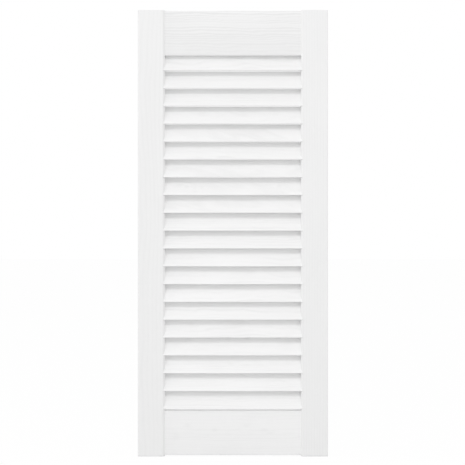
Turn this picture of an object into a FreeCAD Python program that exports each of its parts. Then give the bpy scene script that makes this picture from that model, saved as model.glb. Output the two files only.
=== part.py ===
"""Louvred cupboard door: two stiles, two rails and a row of sloping slats housed in the stiles.

X runs from the hinge edge across the door, Y from front to back, Z up. The origin is on the hinge edge, at its foot,
halfway through its thickness. All lengths are millimetres and the one angle is degrees.
"""
import FreeCAD
import Part
import Sketcher

import math
import os

SIZES = [
    ("door_width", 294.0),
    ("door_height", 690.0),
    ("stile_thickness", 21.0),
    ("stile_width", 41.5),
    ("inner_edge_chamfer", 2.8),
    ("outer_edge_radius", 1.5),
    ("rail_recess", 3.0),
    ("top_rail_height", 69.4),
    ("bottom_rail_height", 68.6),
    ("top_rail_inset", 0.4),
    ("bottom_rail_inset", 1.6),
    ("rail_edge_radius", 0.8),
    ("slat_count", 20),
    ("slat_thickness", 6.0),
    ("slat_tilt", 27.1),
    ("slat_edge_radius", 0.5),
    ("slat_face_setback", 0.0),
    ("slat_tuck", 4.7),
    ("bottom_slat_gap", 3.3),
    ("housing_land", 0.4),
    ("housing_clearance", 0.15),
    ("slat_end_clearance", 0.2),
    ("rebate_clearance", 0.2),
    ("dowel_diameter", 8.0),
    ("dowel_length", 40.0),
    ("dowel_spacing", 36.0),
]

# Sizes that follow from the ones above, each with its formula
DERIVED = [
    ("rail_thickness", "Sizes.stile_thickness - 2 * Sizes.rail_recess"),
    ("opening_width", "Sizes.door_width - 2 * Sizes.stile_width"),
    ("bottom_rail_top", "Sizes.bottom_rail_inset + Sizes.bottom_rail_height"),
    ("top_rail_foot", "Sizes.door_height - Sizes.top_rail_inset - Sizes.top_rail_height"),
    ("slat_front", "Sizes.slat_face_setback - Sizes.stile_thickness / 2"),
    ("slat_level_depth", "Sizes.slat_thickness / cos(Sizes.slat_tilt)"),
    ("slat_height", "(-2 * Derived.slat_front - Derived.slat_level_depth) / tan(Sizes.slat_tilt)"),
    ("lowest_slat", "Derived.bottom_rail_top + Sizes.bottom_slat_gap"),
    ("highest_slat", "Derived.top_rail_foot + Sizes.slat_tuck - Derived.slat_height"),
    ("slat_pitch", "(Derived.highest_slat - Derived.lowest_slat) / (Sizes.slat_count - 1)"),
    ("housing_depth", "Sizes.inner_edge_chamfer - Sizes.housing_land"),
    ("slat_start", "Sizes.stile_width - Derived.housing_depth + Sizes.slat_end_clearance"),
    ("slat_length", "Sizes.door_width - 2 * Derived.slat_start"),
    ("rebate_height", "Sizes.slat_tuck + Sizes.rebate_clearance"),
    ("rebate_depth", "Derived.rail_thickness / 2 + Derived.slat_front + Derived.slat_level_depth"
                     " + Derived.rebate_height * tan(Sizes.slat_tilt) + Sizes.rebate_clearance"),
    ("top_rail_mid", "Derived.top_rail_foot + Sizes.top_rail_height / 2"),
    ("bottom_rail_mid", "Sizes.bottom_rail_inset + Sizes.bottom_rail_height / 2"),
]

# Two places closer than this count as one
SAME_PLACE = 0.001

doc = FreeCAD.newDocument("louvred_door")
sheet = doc.addObject("Spreadsheet::Sheet", "Sizes")
for row, (alias, value) in enumerate(SIZES, 1):
    sheet.set(f"A{row}", alias)
    sheet.set(f"B{row}", str(value))
    sheet.setAlias(f"B{row}", alias)
doc.recompute()
derived = doc.addObject("App::VarSet", "Derived")
for name, formula in DERIVED:
    derived.addProperty("App::PropertyFloat", name)
    derived.setExpression(name, formula)
doc.recompute()


def origin_part(body, role):
    """The plane or axis of the body's own origin that has this role."""
    return next(f for f in body.Origin.OriginFeatures if f.Role == role)


def new_sketch(body, name, role, up=None, out=None):
    """A sketch on one of the body's origin planes, moved by formulas up the plane and out along its normal."""
    sketch = body.newObject("Sketcher::SketchObject", name)
    sketch.AttachmentSupport = [(origin_part(body, role), "")]
    sketch.MapMode = "FlatFace"
    for axis, formula in (("y", up), ("z", out)):
        if formula:
            sketch.setExpression(f"AttachmentOffset.Base.{axis}", formula)
    return sketch


def outline(sketch, points):
    """A closed outline of straight lines through the points; line i runs from point i to the next."""
    corners = [FreeCAD.Vector(x, y, 0) for x, y in points]
    count = len(corners)
    for i in range(count):
        sketch.addGeometry(Part.LineSegment(corners[i], corners[(i + 1) % count]), False)
    for i in range(count):
        sketch.addConstraint(Sketcher.Constraint("Coincident", i, 2, (i + 1) % count, 1))


def size(sketch, name, formula, *constraint):
    """A named dimension of the sketch, driven by a formula."""
    index = sketch.addConstraint(Sketcher.Constraint(*constraint))
    sketch.renameConstraint(index, name)
    sketch.setExpression(f"Constraints.{name}", formula)


def axes(sketch, horizontal, vertical):
    """Holds the named lines level or upright."""
    for line in horizontal:
        sketch.addConstraint(Sketcher.Constraint("Horizontal", line))
    for line in vertical:
        sketch.addConstraint(Sketcher.Constraint("Vertical", line))


def long_edges(feature, along, keep):
    """Names of the edges that run the feature's whole length along one axis and whose middle passes the test."""
    box = feature.Shape.BoundBox
    whole = FreeCAD.Vector(box.XLength, box.YLength, box.ZLength).dot(along)
    names = []
    for i, edge in enumerate(feature.Shape.Edges, 1):
        run = edge.Vertexes[-1].Point - edge.Vertexes[0].Point
        if abs(abs(run.dot(along)) - whole) < SAME_PLACE and keep(edge.CenterOfMass):
            names.append(f"Edge{i}")
    return names


def pad(body, name, sketch, length):
    """Material along the sketch's normal."""
    feature = body.newObject("PartDesign::Pad", name)
    feature.Profile = sketch
    feature.setExpression("Length", length)
    doc.recompute()
    return feature


def pocket(body, name, sketch, depth, forwards):
    """A cut from the sketch, along its normal if forwards, else against it."""
    feature = body.newObject("PartDesign::Pocket", name)
    feature.Profile = sketch
    feature.Reversed = forwards
    feature.setExpression("Length", depth)
    doc.recompute()
    return feature


def rounded(body, name, base, edges, radius):
    """The named edges of the base, rounded."""
    feature = body.newObject("PartDesign::Fillet", name)
    feature.Base = (base, edges)
    feature.setExpression("Radius", radius)
    doc.recompute()
    return feature


def chamfered(body, name, base, edges, width):
    """The named edges of the base, planed off at 45 degrees, the same width from both faces."""
    feature = body.newObject("PartDesign::Chamfer", name)
    feature.Base = (base, edges)
    feature.setExpression("Size", width)
    doc.recompute()
    return feature


def slat_outline(sketch, clearance=None):
    """The slat's section: level edges, sloping faces, its nose at the front and lowest.

    With a clearance the outline stands off the slat by that much on all four sides.
    """
    front = derived.slat_front
    level = derived.slat_level_depth
    tall = derived.slat_height
    outline(sketch, [(front, 0), (front + level, 0), (-front, tall), (-front - level, tall)])
    axes(sketch, (0, 2), ())
    sketch.addConstraint(Sketcher.Constraint("Parallel", 1, 3))
    size(sketch, "tilt", "90 - Sizes.slat_tilt", "Angle", 0, 1, 3, 2, math.radians(90 - sheet.slat_tilt))
    margin = f"Sizes.{clearance}" if clearance else "0"
    reach = f"{margin} / cos(Sizes.slat_tilt) + {margin} * tan(Sizes.slat_tilt)"
    thickness = f"Sizes.slat_thickness + 2 * {margin}"
    size(sketch, "thickness", thickness, "Distance", 0, 2, 3, sheet.slat_thickness)
    size(sketch, "front", f"-Derived.slat_front + {reach}", "DistanceX", 0, 1, -1, 1, -front)
    size(sketch, "back", f"-Derived.slat_front + {reach}", "DistanceX", -1, 1, 2, 1, -front)
    if clearance:
        size(sketch, "foot", margin, "DistanceY", 0, 1, -1, 1, sheet.getPropertyByName(clearance))
    else:
        sketch.addConstraint(Sketcher.Constraint("PointOnObject", 0, 1, -1))


def dowel_holes(body, name, plane_at, rails, forwards):
    """Blind holes for half a dowel, two to a rail end, from the plane where stile and rail meet."""
    sketch = new_sketch(body, f"{name}_sketch", "YZ_Plane", out=plane_at)
    for i, (rail, offset) in enumerate((r, o) for r in rails for o in ("-", "+")):
        middle = derived.getPropertyByName(f"{rail}_mid")
        shift = sheet.dowel_spacing / 2 if offset == "+" else -sheet.dowel_spacing / 2
        radius = sheet.dowel_diameter / 2
        place = FreeCAD.Vector(0, middle + shift, 0)
        sketch.addGeometry(Part.Circle(place, FreeCAD.Vector(0, 0, 1), radius), False)
        sketch.addConstraint(Sketcher.Constraint("PointOnObject", i, 3, -2))
        height = f"Derived.{rail}_mid {offset} Sizes.dowel_spacing / 2"
        size(sketch, f"hole{i}_height", height, "DistanceY", -1, 1, i, 3, middle + shift)
        size(sketch, f"hole{i}_diameter", "Sizes.dowel_diameter", "Diameter", i, 2 * radius)
    return pocket(body, name, sketch, "Sizes.dowel_length / 2", forwards)


def stile(name, side, at):
    """An upright: eased section, a slanted housing for every slat, dowel holes for both rails.

    Its outer face is at the body's origin and its inner face lies to the given side of it.
    """
    body = doc.addObject("PartDesign::Body", name)
    body.setExpression("Placement.Base.x", at)
    inner = f"{side} * Sizes.stile_width"
    width = side * sheet.stile_width
    half = sheet.stile_thickness / 2

    section = new_sketch(body, f"{name}_section", "XY_Plane")
    outline(section, [(0, -half), (width, -half), (width, half), (0, half)])
    axes(section, (0, 2), (3,))
    section.addConstraint(Sketcher.Constraint("PointOnObject", 0, 1, -2))
    section.addConstraint(Sketcher.Constraint("Symmetric", 1, 1, 1, 2, -1))
    size(section, "thickness", "Sizes.stile_thickness", "Distance", 1, 2 * half)
    size(section, "width", "Sizes.stile_width", "Distance", 0, abs(width))
    board = pad(body, f"{name}_board", section, "Sizes.door_height")

    up = FreeCAD.Vector(0, 0, 1)
    inner_edges = long_edges(board, up, lambda p: abs(p.x) > SAME_PLACE)
    planed = chamfered(body, f"{name}_inner_edges", board, inner_edges, "Sizes.inner_edge_chamfer")
    outer_edges = long_edges(planed, up, lambda p: abs(p.x) < SAME_PLACE)
    rounded(body, f"{name}_outer_edges", planed, outer_edges, "Sizes.outer_edge_radius")

    slot = new_sketch(body, f"{name}_slot", "YZ_Plane", up="Derived.lowest_slat", out=inner)
    slat_outline(slot, "housing_clearance")
    housing = pocket(body, f"{name}_housing", slot, "Derived.housing_depth", side < 0)

    row = body.newObject("PartDesign::LinearPattern", f"{name}_housings")
    row.Originals = [housing]
    row.Direction = (origin_part(body, "Z_Axis"), [""])
    row.setExpression("Length", "Derived.slat_pitch * (Sizes.slat_count - 1)")
    row.setExpression("Occurrences", "Sizes.slat_count")
    body.Tip = row
    doc.recompute()

    body.Tip = dowel_holes(body, f"{name}_dowel_holes", inner, ("bottom_rail", "top_rail"), side < 0)
    return body


def rail(name, foot, rebated):
    """A cross board between the stiles, set back from both their faces; the top one is rebated for the top slat."""
    body = doc.addObject("PartDesign::Body", name)
    half = derived.rail_thickness / 2
    height = f"Sizes.{name}_height"
    tall = sheet.getPropertyByName(f"{name}_height")
    section = new_sketch(body, f"{name}_section", "YZ_Plane", up=foot, out="Sizes.stile_width")
    if rebated:
        wall = half - derived.rebate_depth
        step = derived.rebate_height
        outline(section, [(-half, 0), (wall, 0), (wall, step), (half, step), (half, tall), (-half, tall)])
        axes(section, (0, 2, 4), (1, 3, 5))
        size(section, "land", "Derived.rail_thickness - Derived.rebate_depth", "Distance", 0, wall + half)
        size(section, "step", "Derived.rebate_height", "Distance", 1, step)
        size(section, "thickness", "Derived.rail_thickness", "Distance", 4, 2 * half)
        size(section, "height", height, "Distance", 5, tall)
    else:
        outline(section, [(-half, 0), (half, 0), (half, tall), (-half, tall)])
        axes(section, (0, 2), (1, 3))
        size(section, "thickness", "Derived.rail_thickness", "Distance", 0, 2 * half)
        size(section, "height", height, "Distance", 3, tall)
    section.addConstraint(Sketcher.Constraint("PointOnObject", 0, 1, -1))
    size(section, "front", "Derived.rail_thickness / 2", "DistanceX", 0, 1, -1, 1, half)
    board = pad(body, f"{name}_board", section, "Derived.opening_width")
    faces = long_edges(board, FreeCAD.Vector(1, 0, 0), lambda p: abs(abs(p.y) - half) < SAME_PLACE)
    rounded(body, f"{name}_edges", board, faces, "Sizes.rail_edge_radius")
    dowel_holes(body, f"{name}_left_holes", "Sizes.stile_width", (name,), True)
    body.Tip = dowel_holes(body, f"{name}_right_holes", "Sizes.door_width - Sizes.stile_width", (name,), False)
    return body


def rail_dowels(name):
    """The four dowels of one rail, two across each joint."""
    pins = []
    for end, joint in (("left", "Sizes.stile_width"), ("right", "Sizes.door_width - Sizes.stile_width")):
        for level, offset in (("lower", "-"), ("upper", "+")):
            pin = doc.addObject("Part::Cylinder", f"{name}_{end}_{level}_dowel")
            pin.Placement = FreeCAD.Placement(FreeCAD.Vector(), FreeCAD.Rotation(FreeCAD.Vector(0, 1, 0), 90))
            pin.setExpression("Radius", "Sizes.dowel_diameter / 2")
            pin.setExpression("Height", "Sizes.dowel_length")
            pin.setExpression("Placement.Base.x", f"{joint} - Sizes.dowel_length / 2")
            pin.setExpression("Placement.Base.z", f"Derived.{name}_mid {offset} Sizes.dowel_spacing / 2")
            pins.append(pin)
    group = doc.addObject("Part::Compound", f"{name}_dowels")
    group.Links = pins
    doc.recompute()
    return group


def slat(number, steps_up):
    """One slat, its ends in the stiles' housings, the given number of steps above the lowest."""
    name = f"slat_{number:02d}"
    body = doc.addObject("PartDesign::Body", name)
    body.setExpression("Placement.Base.z", f"Derived.lowest_slat + {steps_up} * Derived.slat_pitch")
    section = new_sketch(body, f"{name}_section", "YZ_Plane", out="Derived.slat_start")
    slat_outline(section)
    board = pad(body, f"{name}_board", section, "Derived.slat_length")
    edges = long_edges(board, FreeCAD.Vector(1, 0, 0), lambda p: True)
    body.Tip = rounded(body, f"{name}_edges", board, edges, "Sizes.slat_edge_radius")
    return body


# The frame: stiles first, then the rails between them and the dowels across the joints
pieces = [
    stile("left_stile", 1, "0"),
    stile("right_stile", -1, "Sizes.door_width"),
    rail("bottom_rail", "Sizes.bottom_rail_inset", False),
    rail("top_rail", "Derived.top_rail_foot", True),
    rail_dowels("bottom_rail"),
    rail_dowels("top_rail"),
]

# The slats, counted from the top
count = int(sheet.slat_count)
for number in range(1, count + 1):
    pieces.append(slat(number, count - number))
doc.recompute()

for item in doc.Objects:
    bad = {"Invalid", "Error"} & set(item.State)
    if bad:
        raise RuntimeError(f"{item.Name}: {sorted(bad)}")
os.makedirs("parts", exist_ok=True)
for piece in pieces:
    if piece.Shape.isNull() or not piece.Shape.isValid():
        raise RuntimeError(f"{piece.Label} has no valid shape")
    piece.Shape.exportStep(f"parts/{piece.Label}.step")
    print(piece.Label, len(piece.Shape.Solids), round(piece.Shape.Volume / 1000, 2), "cm3", piece.Shape.BoundBox)
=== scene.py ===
import math

import bpy
import numpy as np
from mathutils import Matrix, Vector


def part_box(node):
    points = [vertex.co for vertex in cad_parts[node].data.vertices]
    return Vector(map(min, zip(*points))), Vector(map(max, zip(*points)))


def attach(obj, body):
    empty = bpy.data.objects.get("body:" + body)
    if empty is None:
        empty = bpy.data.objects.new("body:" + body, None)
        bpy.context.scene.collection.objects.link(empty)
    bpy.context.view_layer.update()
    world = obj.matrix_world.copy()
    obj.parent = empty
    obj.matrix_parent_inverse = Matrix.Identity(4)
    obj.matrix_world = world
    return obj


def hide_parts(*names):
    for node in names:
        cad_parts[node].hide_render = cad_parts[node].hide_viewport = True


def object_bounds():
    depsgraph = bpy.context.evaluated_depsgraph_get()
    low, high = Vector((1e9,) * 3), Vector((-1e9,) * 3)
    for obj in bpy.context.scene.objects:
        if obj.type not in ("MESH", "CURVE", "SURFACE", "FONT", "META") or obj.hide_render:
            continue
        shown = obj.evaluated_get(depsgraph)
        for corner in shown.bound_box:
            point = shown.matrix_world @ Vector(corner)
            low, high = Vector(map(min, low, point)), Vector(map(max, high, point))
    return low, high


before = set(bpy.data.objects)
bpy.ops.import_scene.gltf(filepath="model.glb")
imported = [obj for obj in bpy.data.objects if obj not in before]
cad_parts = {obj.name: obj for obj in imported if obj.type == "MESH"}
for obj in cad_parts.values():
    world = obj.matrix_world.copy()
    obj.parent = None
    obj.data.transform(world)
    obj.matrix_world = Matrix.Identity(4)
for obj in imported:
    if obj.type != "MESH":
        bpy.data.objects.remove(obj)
cad_low, cad_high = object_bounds()


# The viewpoint. The door is seen square on, from level with the middle of the picture and
# from far enough away that the stiles hide their own outer edges.
eye_distance = 1.6
picture_width_at_door = 0.7186
eye_across = 0.1464
eye_height = 0.3462
film_width = 36.0
quarter_turn = math.radians(90.0)

viewpoint = bpy.data.objects.new("viewpoint", bpy.data.cameras.new("viewpoint"))
viewpoint.data.sensor_width = film_width
viewpoint.data.lens = film_width * eye_distance / picture_width_at_door
viewpoint.location = (eye_across, cad_low.y - eye_distance, eye_height)
viewpoint.rotation_euler = (quarter_turn, 0.0, 0.0)
bpy.context.scene.collection.objects.link(viewpoint)
bpy.context.scene.camera = viewpoint
bpy.context.scene.view_settings.view_transform = "Standard"


# The two stiles: planed pine uprights, chamfered along the opening, with a slanted housing
# routed for every slat. They are primed and brush painted white, grain running upright.
stile_white = (0.868, 0.868, 0.868, 1.0)
paint_over_late_wood = (0.815, 0.815, 0.815, 1.0)
# The grey of knot stains, also used for the painted shade at the stiles' feet.
stain_and_shade_grey = (0.60, 0.60, 0.60, 1.0)
stile_ring_width = 0.0042
stile_pith_across = 0.055
stile_pith_deep = 0.030
stile_grain_show = 0.28
stile_ring_relief = 0.25
stile_brush_relief = 0.00016
# Painted shade along the foot of each stile: how high it reaches and how dark it is.
foot_shade_height = 0.003
foot_shade_strength = 0.30
ring_drift_stretch = (4.0, 7.0, 7.0)
ring_drift = 0.022
ring_sharpness = 2.0
fibre_stretch = (16.0, 620.0, 620.0)
drag_stretch = (7.0, 240.0, 240.0)
stipple_stretch = (650.0, 900.0, 900.0)
patch_stretch = (11.0, 30.0, 30.0)
fibre_middle = 0.45
patch_middle = 0.5
fibre_tint = 0.5
patch_tint = 0.6
paint_roughness = 0.36
patch_roughness = 0.16
ring_roughness = 0.10
knot_roughness = 0.08
fibre_height = 0.35
drag_height = 0.35
stipple_height = 0.12


def feed(tree, socket, value):
    """Joins a socket to another node's output, or sets it to a plain number or colour."""
    if isinstance(value, bpy.types.NodeSocket):
        tree.links.new(value, socket)
    else:
        socket.default_value = value


def reckon(tree, operation, first, second=0.0):
    """One Math node: the operation on two values, each a number or another node's output."""
    node = tree.nodes.new("ShaderNodeMath")
    node.operation = operation
    feed(tree, node.inputs[0], first)
    feed(tree, node.inputs[1], second)
    return node.outputs[0]


def add_share(tree, total, value, weight):
    """A running total with one more value added to it, at the given weight."""
    return reckon(tree, "ADD", total, reckon(tree, "MULTIPLY", value, weight))


def stretched_noise(tree, place, stretch, detail):
    """Noise from 0 to 1 whose lumps are one over the stretch long, in metres, on each axis."""
    scaled = tree.nodes.new("ShaderNodeVectorMath")
    scaled.operation = "MULTIPLY"
    feed(tree, scaled.inputs[0], place)
    feed(tree, scaled.inputs[1], stretch)
    noise = tree.nodes.new("ShaderNodeTexNoise")
    noise.inputs["Scale"].default_value = 1.0
    noise.inputs["Detail"].default_value = detail
    tree.links.new(scaled.outputs[0], noise.inputs["Vector"])
    return noise.outputs[0]


def tint(tree, share, under, over):
    """Mixes two colours, from the first at share 0 to the second at share 1."""
    node = tree.nodes.new("ShaderNodeMix")
    node.data_type = "RGBA"
    feed(tree, node.inputs[0], share)
    feed(tree, node.inputs[6], under)
    feed(tree, node.inputs[7], over)
    return node.outputs[2]


def new_effect(name, takes, gives):
    """An empty shader node group with the named sockets, and its entry and exit nodes."""
    group = bpy.data.node_groups.new(name, "ShaderNodeTree")
    for label, kind in takes:
        group.interface.new_socket(label, in_out="INPUT", socket_type=kind)
    for label, kind in gives:
        group.interface.new_socket(label, in_out="OUTPUT", socket_type=kind)
    entry = group.nodes.new("NodeGroupInput")
    leave = group.nodes.new("NodeGroupOutput")
    return group, entry, leave


def growth_ring_effect():
    """Late wood as in a log: the distance from a pith line along the board, which wanders a
    little, is counted in ring widths, and a raised cosine of that count marks each ring."""
    takes = [("Board", "NodeSocketVector"), ("Pith Across", "NodeSocketFloat")]
    takes += [("Pith Deep", "NodeSocketFloat"), ("Ring Width", "NodeSocketFloat")]
    tree, entry, leave = new_effect("growth_rings", takes, [("Late Wood", "NodeSocketFloat")])
    split = tree.nodes.new("ShaderNodeSeparateXYZ")
    tree.links.new(entry.outputs["Board"], split.inputs[0])
    drift = stretched_noise(tree, entry.outputs["Board"], ring_drift_stretch, detail=2.0)
    drift = reckon(tree, "MULTIPLY", reckon(tree, "SUBTRACT", drift, 0.5), ring_drift)
    across = reckon(tree, "SUBTRACT", split.outputs[1], entry.outputs["Pith Across"])
    across = reckon(tree, "ADD", across, drift)
    deep = reckon(tree, "SUBTRACT", split.outputs[2], entry.outputs["Pith Deep"])
    reach = reckon(tree, "ADD", reckon(tree, "MULTIPLY", across, across),
                   reckon(tree, "MULTIPLY", deep, deep))
    rings = reckon(tree, "DIVIDE", reckon(tree, "SQRT", reach), entry.outputs["Ring Width"])
    wave = reckon(tree, "COSINE", reckon(tree, "MULTIPLY", rings, math.tau))
    wave = reckon(tree, "ADD", reckon(tree, "MULTIPLY", wave, 0.5), 0.5)
    tree.links.new(reckon(tree, "POWER", wave, ring_sharpness), leave.inputs["Late Wood"])
    return tree


def brushed_paint_effect():
    """White paint over pine: the colour darkens a little over late wood, fibres, patches, knots
    and painted shade, the gloss drops over all of these but the fibres, and the height adds
    fibres, brush drag and a fine stipple to the raised grain."""
    takes = [("Board", "NodeSocketVector"), ("Late Wood", "NodeSocketFloat")]
    takes += [("Knot And Shade", "NodeSocketFloat"), ("Grain Show", "NodeSocketFloat")]
    takes += [("Ring Relief", "NodeSocketFloat"), ("White", "NodeSocketColor")]
    gives = [("Color", "NodeSocketColor"), ("Roughness", "NodeSocketFloat")]
    gives += [("Height", "NodeSocketFloat")]
    tree, entry, leave = new_effect("brushed_paint", takes, gives)
    board = entry.outputs["Board"]
    fibre = stretched_noise(tree, board, fibre_stretch, detail=3.0)
    drag = stretched_noise(tree, board, drag_stretch, detail=2.0)
    stipple = stretched_noise(tree, board, stipple_stretch, detail=1.0)
    patch = stretched_noise(tree, board, patch_stretch, detail=3.0)
    ring = reckon(tree, "MULTIPLY", entry.outputs["Late Wood"], entry.outputs["Grain Show"])
    share = add_share(tree, ring, reckon(tree, "SUBTRACT", fibre, fibre_middle), fibre_tint)
    share = add_share(tree, share, reckon(tree, "SUBTRACT", patch, patch_middle), patch_tint)
    share = reckon(tree, "MINIMUM", reckon(tree, "MAXIMUM", share, 0.0), 1.0)
    colour = tint(tree, share, entry.outputs["White"], paint_over_late_wood)
    # Knot stains on the boards, and painted shade at the stiles' feet, darken the colour.
    colour = tint(tree, entry.outputs["Knot And Shade"], colour, stain_and_shade_grey)
    tree.links.new(colour, leave.inputs["Color"])
    rough = add_share(tree, paint_roughness, patch, patch_roughness)
    rough = add_share(tree, rough, ring, ring_roughness)
    rough = add_share(tree, rough, entry.outputs["Knot And Shade"], knot_roughness)
    tree.links.new(rough, leave.inputs["Roughness"])
    height = reckon(tree, "MULTIPLY", entry.outputs["Late Wood"], entry.outputs["Ring Relief"])
    height = add_share(tree, height, fibre, fibre_height)
    height = add_share(tree, height, drag, drag_height)
    height = add_share(tree, height, stipple, stipple_height)
    tree.links.new(height, leave.inputs["Height"])
    return tree


growth_rings = growth_ring_effect()
brushed_paint = brushed_paint_effect()


def finish_material(name, coat_of, relief):
    """A painted material: the coat's colour, roughness and height go to one shader, the
    height through a bump of the given depth in metres."""
    material = bpy.data.materials.new(name)
    material.use_nodes = True
    tree = material.node_tree
    shader = tree.nodes["Principled BSDF"]
    coat = coat_of(tree)
    tree.links.new(coat.outputs["Color"], shader.inputs["Base Color"])
    tree.links.new(coat.outputs["Roughness"], shader.inputs["Roughness"])
    bump = tree.nodes.new("ShaderNodeBump")
    bump.inputs["Strength"].default_value = 1.0
    bump.inputs["Distance"].default_value = relief
    tree.links.new(coat.outputs["Height"], bump.inputs["Height"])
    tree.links.new(bump.outputs["Normal"], shader.inputs["Normal"])
    return material


def stile_coat(tree):
    """The upright's own axis is turned to lie along the board, then rings and paint follow. The
    foot, which the door stands on, carries painted shade: a darkening that fades evenly over a small
    height."""
    place = tree.nodes.new("ShaderNodeTexCoord")
    turned = tree.nodes.new("ShaderNodeMapping")
    turned.inputs["Rotation"].default_value = (0.0, quarter_turn, 0.0)
    tree.links.new(place.outputs["Object"], turned.inputs["Vector"])
    rings = tree.nodes.new("ShaderNodeGroup")
    rings.node_tree = growth_rings
    tree.links.new(turned.outputs["Vector"], rings.inputs["Board"])
    rings.inputs["Pith Across"].default_value = stile_pith_across
    rings.inputs["Pith Deep"].default_value = stile_pith_deep
    rings.inputs["Ring Width"].default_value = stile_ring_width
    coat = tree.nodes.new("ShaderNodeGroup")
    coat.node_tree = brushed_paint
    tree.links.new(turned.outputs["Vector"], coat.inputs["Board"])
    tree.links.new(rings.outputs["Late Wood"], coat.inputs["Late Wood"])
    upright = tree.nodes.new("ShaderNodeSeparateXYZ")
    tree.links.new(place.outputs["Object"], upright.inputs[0])
    # Painted shade at the foot: full at the floor, gone a few millimetres up.
    above_foot_shade = reckon(tree, "MINIMUM", reckon(tree, "DIVIDE", upright.outputs[2], foot_shade_height), 1.0)
    painted_foot_shade = reckon(tree, "MULTIPLY", reckon(tree, "SUBTRACT", 1.0, above_foot_shade), foot_shade_strength)
    tree.links.new(painted_foot_shade, coat.inputs["Knot And Shade"])
    coat.inputs["Grain Show"].default_value = stile_grain_show
    coat.inputs["Ring Relief"].default_value = stile_ring_relief
    coat.inputs["White"].default_value = stile_white
    return coat


painted_stile = finish_material("painted_stile", stile_coat, stile_brush_relief)
for stile_name in ("left_stile", "right_stile"):
    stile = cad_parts[stile_name]
    stile.data.materials.clear()
    stile.data.materials.append(painted_stile)


# The dowels: two plain beech pegs glued into each corner joint, from rail into stile. They are
# hidden in the finished door and stay bare.
beech_light = (0.56, 0.38, 0.22, 1.0)
beech_fleck = (0.40, 0.24, 0.12, 1.0)
fleck_stretch = (220.0, 1500.0, 1500.0)
fleck_sharpness = 2.0
beech_roughness = 0.55
fleck_roughness = 0.2

bare_beech = bpy.data.materials.new("bare_beech")
bare_beech.use_nodes = True
beech_tree = bare_beech.node_tree
beech_place = beech_tree.nodes.new("ShaderNodeTexCoord")
fleck = stretched_noise(beech_tree, beech_place.outputs["Object"], fleck_stretch, detail=3.0)
fleck_share = reckon(beech_tree, "POWER", fleck, fleck_sharpness)
beech_colour = tint(beech_tree, fleck_share, beech_light, beech_fleck)
beech_rough = add_share(beech_tree, beech_roughness, fleck, fleck_roughness)
beech_shader = beech_tree.nodes["Principled BSDF"]
beech_tree.links.new(beech_colour, beech_shader.inputs["Base Color"])
beech_tree.links.new(beech_rough, beech_shader.inputs["Roughness"])
for peg_name in ("top_rail_dowels", "bottom_rail_dowels"):
    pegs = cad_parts[peg_name]
    pegs.data.materials.clear()
    pegs.data.materials.append(bare_beech)


# The two rails: pine boards laid flat between the stiles and set back from their faces, with
# eased arrises. The top one is rebated behind its foot to take the tail of the top slat.
rail_arris = 0.0008
rail_arc_steps = 6
rail_end_sunk = 0.0003
rail_end_filler = 0.0006
filler_width = 0.0016
filler_steps = 8
rail_face_step = 0.0011
rail_length_step = 0.0022
rebate_wall = 0.00105
rebate_height = 0.0049
top_rail_white = (0.882, 0.882, 0.882, 1.0)
bottom_rail_white = (0.902, 0.902, 0.902, 1.0)
# The fuller white of the painted highlight along the slats' noses.
nose_highlight_white = (0.895, 0.895, 0.895, 1.0)
top_rail_pith = (0.075, 0.56)
bottom_rail_pith = (0.060, 0.10)
top_rail_ring_width = 0.0031
bottom_rail_ring_width = 0.0034
top_rail_grain = 0.00013
bottom_rail_grain = 0.00004
top_rail_grain_show = 2.2
bottom_rail_grain_show = 0.4
top_rail_seed = 11
bottom_rail_seed = 23
rail_foot_darkening = 0.30
rail_grain_least = 0.45
board_brush_relief = 0.00014
late_wood_sharpness = 2.5
ring_strength = 0.6
weakest_ring = 0.1
# Lengths and heights of the waves that make the wood uneven.
drift_waves = ((0.31, 0.13, 0.061), (0.0010, 0.0005, 0.0003))
lean_waves = ((0.23, 0.097, 0.043), (0.0006, 0.0003, 0.0002))
ripple_waves = ((0.052, 0.031, 0.017), (0.08, 0.05, 0.03))
spacing_waves = ((0.023, 0.0113), (0.30, 0.12))
strength_waves = ((0.027, 0.0091), (0.25, 0.30))
long_patch_waves = ((0.17, 0.071), (0.5, 0.3))
cross_patch_waves = ((0.043, 0.019), (0.5, 0.3))
# How far each wave slants over the board.
lean_slant = 1.7
ripple_slant = 2.3
long_patch_slant = 0.6
cross_patch_slant = 0.11


def rounded_outline(corners, radii, arc_steps, run_step):
    """Outline of a board's section, anticlockwise seen from its right end: every corner is an
    arc that touches both sides, every side between arcs is cut into equal runs. Gives the
    points and their outward normals."""
    corners = np.asarray(corners, float)
    before = np.roll(corners, 1, axis=0) - corners
    after = np.roll(corners, -1, axis=0) - corners
    before /= np.linalg.norm(before, axis=1)[:, None]
    after /= np.linalg.norm(after, axis=1)[:, None]
    radii = np.asarray(radii, float)
    half = np.arccos(np.clip((before * after).sum(axis=1), -1.0, 1.0)) / 2.0
    touch = radii / np.tan(half)
    middle = before + after
    middle /= np.linalg.norm(middle, axis=1)[:, None]
    centres = corners + middle * (radii / np.sin(half))[:, None]
    points = []
    normals = []
    for here in range(len(corners)):
        there = (here + 1) % len(corners)
        normal_in = np.array([-before[here][1], before[here][0]])
        normal_out = np.array([after[here][1], -after[here][0]])
        turn_from = math.atan2(normal_in[1], normal_in[0])
        swing = (math.atan2(normal_out[1], normal_out[0]) - turn_from + math.pi) % math.tau - math.pi
        if radii[here] > 0.0:
            angles = turn_from + swing * np.linspace(0.0, 1.0, arc_steps + 1)
            facing = np.stack([np.cos(angles), np.sin(angles)], axis=1)
            points.append(centres[here] + radii[here] * facing)
        else:
            facing = (normal_in + normal_out)[None, :] / 2.0
            points.append(corners[here][None, :])
        normals.append(facing)
        start = corners[here] + after[here] * touch[here]
        stop = corners[there] + before[there] * touch[there]
        runs = max(2, int(math.ceil(np.linalg.norm(stop - start) / run_step)))
        share = np.linspace(0.0, 1.0, runs + 1)[1:-1, None]
        points.append(start + (stop - start) * share)
        normals.append(np.repeat(normal_out[None, :], runs - 1, axis=0))
    return np.concatenate(points), np.concatenate(normals)


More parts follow.
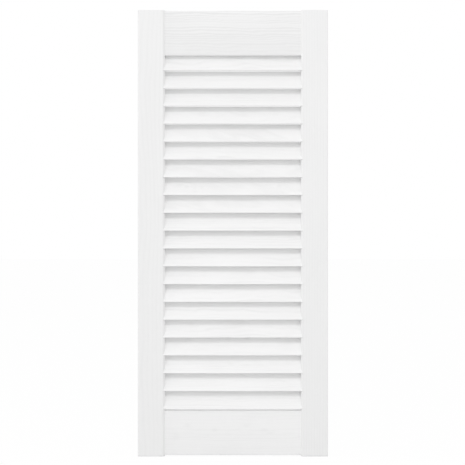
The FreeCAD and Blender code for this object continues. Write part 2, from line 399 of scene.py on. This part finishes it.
def stations_along(start, stop, step, zone, zone_steps):
    """Places of the sections along a board: even steps between closer ones in a zone at each end."""
    even = np.linspace(start + zone, stop - zone, int(round((stop - start) / step)) + 1)
    near = np.linspace(0.0, zone, zone_steps + 1)[:-1]
    return np.concatenate([start + near, even, stop - near[::-1]])


def bead(stations, start, stop, width):
    """A hollow bead of paint and filler in the corner at each end of a board: 1 at the start and
    the stop, and beyond them, falling to 0 as the square of what is left of the bead's width."""
    inside = np.minimum(stations - start, stop - stations)
    return np.clip(1.0 - np.maximum(inside, 0.0) / width, 0.0, 1.0) ** 2


def waver(along, seed, lengths, heights):
    """A slow sideways drift along a board: sine waves of the given lengths and heights added
    up, each started at a phase drawn from the seed."""
    phases = np.random.default_rng(seed).uniform(0.0, math.tau, len(lengths))
    waves = np.sin(np.asarray(along)[..., None] * (math.tau / np.asarray(lengths)) + phases)
    return (waves * np.asarray(heights)).sum(axis=-1)


def late_wood(along, deep, up, pith, ring_width, seed):
    """Growth rings through a board: the distance of each point from a pith line along the
    board, which drifts and ripples, counted in ring widths. A raised cosine of the count
    marks the late wood, which is stronger in some rings than in others."""
    drift = waver(along, seed, *drift_waves)
    lean = waver(along + lean_slant * up, seed + 1, *lean_waves)
    reach = np.hypot(deep - pith[0] + drift, up - pith[1] + lean)
    ripple = waver(along + ripple_slant * up, seed + 2, *ripple_waves)
    uneven = waver(reach, seed + 3, *spacing_waves)
    rings = reach / ring_width + ripple + uneven
    strength = np.clip(ring_strength + waver(reach, seed + 4, *strength_waves), weakest_ring, 1.0)
    return strength * (0.5 - 0.5 * np.cos(math.tau * rings)) ** late_wood_sharpness


def patchy(along, up, seed):
    """How strongly the grain stands up from place to place, from 0 to 1: crossed slow waves."""
    long_wave = waver(along + long_patch_slant * up, seed, *long_patch_waves)
    cross_wave = waver(up - cross_patch_slant * along, seed + 1, *cross_patch_waves)
    return np.clip(0.5 + 0.5 * (long_wave + cross_wave), 0.0, 1.0)


def board_mesh(name, grid, marks):
    """A closed board from a grid of points, one row per section along it: quads between the
    rows, the outline joined up on itself, and one flat face over each end. Each named mark
    gives every point a value for the paint."""
    rows, around = grid.shape[:2]
    number = np.arange(rows * around).reshape(rows, around)
    beside = np.roll(number, -1, axis=1)
    quads = np.stack([number[:-1], beside[:-1], beside[1:], number[1:]], axis=-1).reshape(-1, 4)
    faces = quads.tolist() + [number[0][::-1].tolist(), number[-1].tolist()]
    mesh = bpy.data.meshes.new(name)
    mesh.from_pydata(grid.reshape(-1, 3).tolist(), [], faces)
    smooth = np.ones(len(faces), bool)
    smooth[-2:] = False
    mesh.polygons.foreach_set("use_smooth", smooth)
    for mark, values in marks.items():
        stored = mesh.attributes.new(mark, "FLOAT", "POINT")
        stored.data.foreach_set("value", values.astype(np.float32).ravel())
    board = bpy.data.objects.new(name, mesh)
    bpy.context.scene.collection.objects.link(board)
    return board


def stored_mark(tree, mark):
    """The value of one mark that is stored with a board's mesh."""
    node = tree.nodes.new("ShaderNodeAttribute")
    node.attribute_name = mark
    return node.outputs["Fac"]


def board_coat(white, grain_show):
    """The paint on a level board: its rings and knots are stored with its mesh, and so is the
    painted highlight along a slat's nose, where the white is fuller."""
    def coat_of(tree):
        place = tree.nodes.new("ShaderNodeTexCoord")
        coat = tree.nodes.new("ShaderNodeGroup")
        coat.node_tree = brushed_paint
        tree.links.new(place.outputs["Object"], coat.inputs["Board"])
        tree.links.new(stored_mark(tree, "late_wood"), coat.inputs["Late Wood"])
        tree.links.new(stored_mark(tree, "knot"), coat.inputs["Knot And Shade"])
        coat.inputs["Grain Show"].default_value = grain_show
        coat.inputs["Ring Relief"].default_value = 0.0
        # The painted nose highlight makes the white fuller.
        highlighted_white = tint(tree, stored_mark(tree, "painted_nose_highlight"), white, nose_highlight_white)
        tree.links.new(highlighted_white, coat.inputs["White"])
        return coat
    return coat_of


def knot_stains(along, up, knots):
    """How far knots stain a board: for each knot a bell curve about its place, with its own
    length, height and strength. The strongest one counts."""
    stain = np.zeros_like(along)
    for knot_along, knot_up, knot_long, knot_high, strength in knots:
        spread = ((along - knot_along) / knot_long) ** 2 + ((up - knot_up) / knot_high) ** 2
        stain = np.maximum(stain, strength * np.exp(-spread))
    return stain


def rail_piece(node, rebated, pith, ring_width, grain, seed, knots):
    """A rail: the rounded section carried along its length, sunk between the late-wood ridges
    by the grain depth, which fades in patches. The colour darkens towards the rail's foot."""
    low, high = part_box(node)
    corners = [(low.y, low.z), (high.y, low.z), (high.y, high.z), (low.y, high.z)]
    radii = [rail_arris] * 4
    if rebated:
        step_up = low.z + rebate_height
        corners[1:2] = [(rebate_wall, low.z), (rebate_wall, step_up), (high.y, step_up)]
        radii = [rail_arris, 0.0, 0.0, 0.0, rail_arris, rail_arris]
    outline, facing = rounded_outline(corners, radii, rail_arc_steps, rail_face_step)
    start = low.x - rail_end_sunk
    stop = high.x + rail_end_sunk
    stations = stations_along(start, stop, rail_length_step, filler_width, filler_steps)
    along, deep = np.meshgrid(stations, outline[:, 0], indexing="ij")
    up = np.meshgrid(stations, outline[:, 1], indexing="ij")[1]
    late = late_wood(along, deep, up, pith, ring_width, seed)
    fade = rail_grain_least + (1.0 - rail_grain_least) * patchy(along, up, seed + 7)
    sink = -grain * (1.0 - late) * fade
    # Darker towards the rail's foot.
    darker_towards_foot = rail_foot_darkening * (high.z - up) / (high.z - low.z)
    marks = {"late_wood": late * fade + darker_towards_foot, "knot": knot_stains(along, up, knots),
             "painted_nose_highlight": np.zeros_like(along)}
    filler = rail_end_filler * bead(stations, start, stop, filler_width)[:, None]
    moved_deep = deep + (sink + filler) * facing[:, 0]
    points = np.stack([along, moved_deep, up + sink * facing[:, 1]], axis=-1)
    rail = board_mesh(node + "_board", points, marks)
    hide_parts(node)
    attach(rail, "root")
    return rail


# Each knot: its place along and up, its length and height, and how far it stains the paint.
bottom_rail_knots = ((0.059, 0.0306, 0.006, 0.006, 0.09), (0.0765, 0.0475, 0.004, 0.0025, 0.10),
                     (0.1185, 0.0405, 0.004, 0.0025, 0.13), (0.168, 0.0470, 0.005, 0.0025, 0.09),
                     (0.196, 0.0410, 0.005, 0.0020, 0.12), (0.204, 0.0355, 0.006, 0.0020, 0.09))
top_rail_coat = board_coat(top_rail_white, top_rail_grain_show)
bottom_rail_coat = board_coat(bottom_rail_white, bottom_rail_grain_show)
painted_top_rail = finish_material("painted_top_rail", top_rail_coat, board_brush_relief)
painted_bottom_rail = finish_material("painted_bottom_rail", bottom_rail_coat, board_brush_relief)
top_rail = rail_piece("top_rail", True, top_rail_pith, top_rail_ring_width, top_rail_grain,
                      top_rail_seed, ())
bottom_rail = rail_piece("bottom_rail", False, bottom_rail_pith, bottom_rail_ring_width,
                         bottom_rail_grain, bottom_rail_seed, bottom_rail_knots)
top_rail.data.materials.append(painted_top_rail)
bottom_rail.data.materials.append(painted_bottom_rail)


# The twenty slats: thin pine strips planed to a slanted section with level nose and tail, so
# both lie flush with the stiles. Their ends sit in the housings. Each has warped a little.
slat_count = sum(node.startswith("slat_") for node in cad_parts)
slat_white = (0.892, 0.892, 0.892, 1.0)
slat_thickness = 0.006
slat_tilt = math.radians(27.1)
slat_arris = 0.00025
slat_arc_steps = 5
slat_face_step = 0.0011
slat_length_step = 0.0024
slat_end_steps = 9
slat_ring_width = 0.0030
slat_grain = 0.00006
slat_grain_show = 0.8
slat_grain_least = 0.3
slat_pith_deep = (0.03, 0.08)
slat_pith_up = (-0.05, 0.06)
slat_ring_spread = (0.8, 1.3)
slat_draw_seed = 400
slat_wave_seed = 1000
slat_bow = 0.00022
housing_gap = 0.00015
housing_end_gap = 0.0002
slat_bead_width = 0.0012
corner_bead = 0.0010
corner_bead_width = 0.0025
# How far up from each slat's foot its painted nose highlight reaches.
nose_highlight_reach = 0.004
# Knots by slat, each with its place along and up, its length and height, and its stain.
slat_knots = {
    8: ((0.0755, 0.4173, 0.0040, 0.0028, 0.20), (0.0835, 0.4173, 0.0030, 0.0022, 0.12),
        (0.0880, 0.4160, 0.0030, 0.0026, 0.12), (0.0985, 0.4165, 0.0032, 0.0025, 0.13),
        (0.0885, 0.4096, 0.0030, 0.0020, 0.12), (0.2190, 0.4188, 0.0030, 0.0030, 0.17),
        (0.0645, 0.4206, 0.0070, 0.0030, 0.15)),
    16: ((0.1390, 0.1836, 0.0040, 0.0020, 0.14), (0.1692, 0.1836, 0.0045, 0.0020, 0.12)),
    17: ((0.1390, 0.1818, 0.0040, 0.0022, 0.26), (0.1692, 0.1816, 0.0045, 0.0022, 0.24),
         (0.2175, 0.1818, 0.0050, 0.0022, 0.16)),
}

rail_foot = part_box("top_rail")[0].z
mouth_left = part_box("left_stile")[1].x
mouth_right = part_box("right_stile")[0].x


def slat_piece(number):
    """A slat: the slanted section carried from housing to housing, sunk between its late-wood
    ridges, and bowed by half a wave along its length that dies out at both ends. Paint has
    pooled in the corner under the top rail, in a bead that falls off as a square."""
    node = "slat_%02d" % number
    low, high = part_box(node)
    front = cad_low.y
    back = cad_high.y
    level_cut = slat_thickness / math.cos(slat_tilt)
    foot = low.z
    head = high.z
    corners = [(front, foot), (front + level_cut, foot), (back, head), (back - level_cut, head)]
    outline, facing = rounded_outline(corners, [slat_arris] * 4, slat_arc_steps, slat_face_step)
    start = low.x - housing_end_gap
    stop = high.x + housing_end_gap
    end_zone = mouth_left - start + slat_bead_width
    stations = stations_along(start, stop, slat_length_step, end_zone, slat_end_steps)
    along, deep = np.meshgrid(stations, outline[:, 0], indexing="ij")
    up = np.meshgrid(stations, outline[:, 1], indexing="ij")[1]
    draw = np.random.default_rng(slat_draw_seed + number)
    pith = (draw.uniform(*slat_pith_deep), foot + draw.uniform(*slat_pith_up))
    ring_width = slat_ring_width * draw.uniform(*slat_ring_spread)
    seed = slat_wave_seed + 10 * number
    late = late_wood(along, deep, up, pith, ring_width, seed)
    fade = slat_grain_least + (1.0 - slat_grain_least) * patchy(along, up, seed + 7)
    sink = -slat_grain * (1.0 - late) * fade
    # Along the nose the white is fuller: a painted highlight that fades up the face.
    marks = {"late_wood": late * fade, "knot": knot_stains(along, up, slat_knots.get(number, ())),
             "painted_nose_highlight": np.exp(-((up - foot) / nose_highlight_reach) ** 2)}
    at_mouths = bead(stations, mouth_left, mouth_right, slat_bead_width)[:, None]
    from_rail = np.abs(rail_foot - outline[:, 1]) / corner_bead_width
    on_face = facing[:, 0] < 0.0
    pooled = corner_bead * np.clip(1.0 - from_rail, 0.0, 1.0) ** 2 * on_face
    half_wave = np.sin(math.pi * (stations - start) / (stop - start))[:, None]
    sag = half_wave ** 2 * draw.uniform(-1.0, 1.0) * slat_bow
    grow = sink + housing_gap * at_mouths + pooled * (1.0 - at_mouths)
    points = np.stack([along, deep + grow * facing[:, 0], up + grow * facing[:, 1] + sag], axis=-1)
    slat = board_mesh(node + "_strip", points, marks)
    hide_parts(node)
    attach(slat, "root")
    return slat


slat_coat = board_coat(slat_white, slat_grain_show)
painted_slat = finish_material("painted_slat", slat_coat, board_brush_relief)
for slat_number in range(1, slat_count + 1):
    slat_piece(slat_number).data.materials.append(painted_slat)


# The studio: a plain pale floor that the door stands on, which the eye sees as white with
# only a breath of the door's shadow, under an even white surround.
floor_pale = (0.80, 0.80, 0.80, 1.0)
floor_reach = 12.0
floor_seen_colour = (1.0, 1.0, 1.0, 1.0)
floor_white_share = 0.95
floor_roughness = 0.9
surround_fill = 0.802

floor_mesh = bpy.data.meshes.new("floor")
floor_corners = np.array([(-1.0, -1.0, 0.0), (1.0, -1.0, 0.0), (1.0, 1.0, 0.0), (-1.0, 1.0, 0.0)])
floor_mesh.from_pydata((floor_corners * floor_reach).tolist(), [], [(0, 1, 2, 3)])
floor = bpy.data.objects.new("floor", floor_mesh)
bpy.context.scene.collection.objects.link(floor)


def seen_plainly(tree):
    """1 for what the eye sees straight, in a mirror or through glass, and 0 for other light."""
    path = tree.nodes.new("ShaderNodeLightPath")
    seen = reckon(tree, "MAXIMUM", path.outputs["Is Camera Ray"], path.outputs["Is Glossy Ray"])
    return reckon(tree, "MAXIMUM", seen, path.outputs["Is Transmission Ray"])


floor_paint = bpy.data.materials.new("floor_paint")
floor_paint.use_nodes = True
floor_tree = floor_paint.node_tree
floor_shader = floor_tree.nodes["Principled BSDF"]
floor_seen = seen_plainly(floor_tree)
floor_colour = tint(floor_tree, floor_seen, floor_pale, floor_seen_colour)
floor_tree.links.new(floor_colour, floor_shader.inputs["Base Color"])
floor_shader.inputs["Roughness"].default_value = floor_roughness
floor_white = floor_tree.nodes.new("ShaderNodeEmission")
floor_white.inputs["Strength"].default_value = 1.0
floor_mix = floor_tree.nodes.new("ShaderNodeMixShader")
floor_share = reckon(floor_tree, "MULTIPLY", floor_seen, floor_white_share)
floor_tree.links.new(floor_share, floor_mix.inputs[0])
floor_tree.links.new(floor_shader.outputs[0], floor_mix.inputs[1])
floor_tree.links.new(floor_white.outputs[0], floor_mix.inputs[2])
floor_tree.links.new(floor_mix.outputs[0], floor_tree.nodes["Material Output"].inputs["Surface"])
floor_mesh.materials.append(floor_paint)

surround = bpy.data.worlds.new("surround")
surround.use_nodes = True
bpy.context.scene.world = surround
sky_tree = surround.node_tree
sky = sky_tree.nodes["Background"]
sky.inputs["Color"].default_value = (1.0, 1.0, 1.0, 1.0)
sky_level = reckon(sky_tree, "MULTIPLY", seen_plainly(sky_tree), 1.0 - surround_fill)
sky_tree.links.new(reckon(sky_tree, "ADD", sky_level, surround_fill), sky.inputs["Strength"])


# The lamps: a small soft box in front and high up, which draws the slats' shadows, a wide soft
# lamp high on the left, one low on the right, and one far round to the left, which skims the
# face and lifts the chamfer on the right.
door_middle = (cad_low + cad_high) / 2.0


def soft_lamp(name, offset, side, power):
    """A square lamp set off from the door's middle, in metres, and turned to face it."""
    lamp = bpy.data.objects.new(name, bpy.data.lights.new(name, "AREA"))
    lamp.data.shape = "RECTANGLE"
    lamp.data.size = side
    lamp.data.size_y = side
    lamp.data.energy = power
    lamp.location = [m + o for m, o in zip(door_middle, offset)]
    lamp.rotation_euler = (door_middle - lamp.location).to_track_quat("-Z", "Y").to_euler()
    bpy.context.scene.collection.objects.link(lamp)
    return lamp


soft_lamp("front_soft_box", offset=(-0.09, -2.58, 2.36), side=0.30, power=14.5)
soft_lamp("high_left_lamp", offset=(-1.62, -2.31, 1.50), side=0.70, power=5.2)
soft_lamp("side_left_lamp", offset=(-3.10, -0.66, 0.45), side=0.70, power=7.7)
soft_lamp("low_right_lamp", offset=(0.83, -3.09, 0.45), side=0.70, power=5.6)
